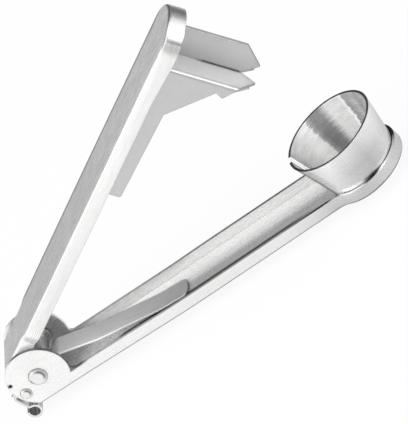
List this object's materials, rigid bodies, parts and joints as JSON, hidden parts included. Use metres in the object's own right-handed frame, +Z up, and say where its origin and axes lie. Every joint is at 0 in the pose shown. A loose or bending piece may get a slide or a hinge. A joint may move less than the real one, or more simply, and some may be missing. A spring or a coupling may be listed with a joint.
{
  "type": "olive pitter",
  "caption": "Hand-held lever stoner of pressed steel sheet: two sprung arms on a riveted hinge, a cone cup in a round tray, a cross-shaped cutter and a small latch with a hanging eye.",
  "frame": {"origin": "centre of the hanging eye's bore, midway along it", "axes": "+X along the lower arm from the hinge to the cup, +Y along the hinge axis and the eye's bore, +Z up from the underside"},
  "size_m": [0.1844, 0.0384, 0.1083],
  "materials": {
    "steel_arm": "fine brushed stainless sheet, grain along the arm",
    "steel_cup": "stainless sheet, fine grain up the cone",
    "steel_rivet": "bright stainless rivet",
    "steel_small": "plain stainless",
    "steel_spring": "blue-grey rolled spring steel",
    "steel_cutter": "satin stainless sheet"
  },
  "bodies": {
    "lower": {"lower_arm": "steel_arm", "cup": "steel_cup", "hinge_rivet": "steel_rivet", "hinge_bush": "steel_small", "hinge_washers": "steel_small", "latch_rivet": "steel_rivet", "stop_pin": "steel_small", "leaf_spring": "steel_spring"},
    "upper": {"upper_arm": "steel_arm", "plunger_frame": "steel_cutter", "plunger_fin": "steel_cutter"},
    "latch": {"latch": "steel_small"}
  },
  "joints": [
    {"name": "arm_pivot", "type": "hinge", "parent": "lower", "child": "upper", "pos_m": [0.0122, 0, 0.0131], "axis": [0, 1, 0], "range_deg": [0, 22], "stiffness_Nm_per_rad": 0.8, "springref_deg": -20.05, "deforming": ["leaf_spring"]},
    {"name": "latch_pivot", "type": "hinge", "parent": "lower", "child": "latch", "pos_m": [0.0037, 0, 0.0097], "axis": [0, 1, 0], "range_deg": [0, 25]}
  ]
}
